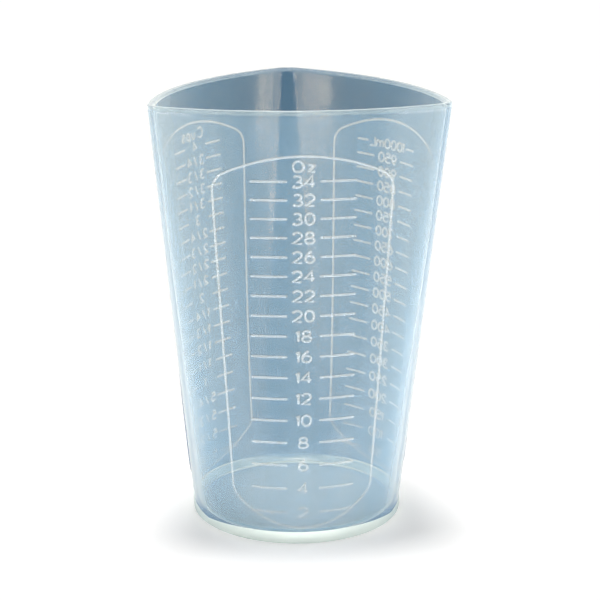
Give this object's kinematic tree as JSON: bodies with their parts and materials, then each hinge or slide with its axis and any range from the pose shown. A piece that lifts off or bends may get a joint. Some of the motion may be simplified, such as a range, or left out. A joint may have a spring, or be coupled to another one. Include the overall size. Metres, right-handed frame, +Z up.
{
  "type": "resin mixing cup",
  "caption": "Translucent moulded mixing cup with a round foot, a mouth with three soft pour corners, and raised fill scales on its three sides.",
  "frame": {"origin": "centre of the round foot, on the plane the cup stands on", "axes": "+Z up along the cup's axis, +Y towards one pour corner, -Y out of the ounce side"},
  "size_m": [0.1162, 0.1149, 0.1754],
  "materials": {
    "natural_polypropylene": "satin, translucent",
    "raised_marks": "satin, translucent"
  },
  "bodies": {
    "root": {"cup_wall": "natural_polypropylene", "cup_floor": "natural_polypropylene", "foot_ring": "natural_polypropylene", "rim_lip": "natural_polypropylene", "ounce_outline": "raised_marks", "ounce_marks": "raised_marks", "cups_outline": "raised_marks", "cups_marks": "raised_marks", "millilitre_outline": "raised_marks", "millilitre_marks": "raised_marks"}
  },
  "joints": []
}
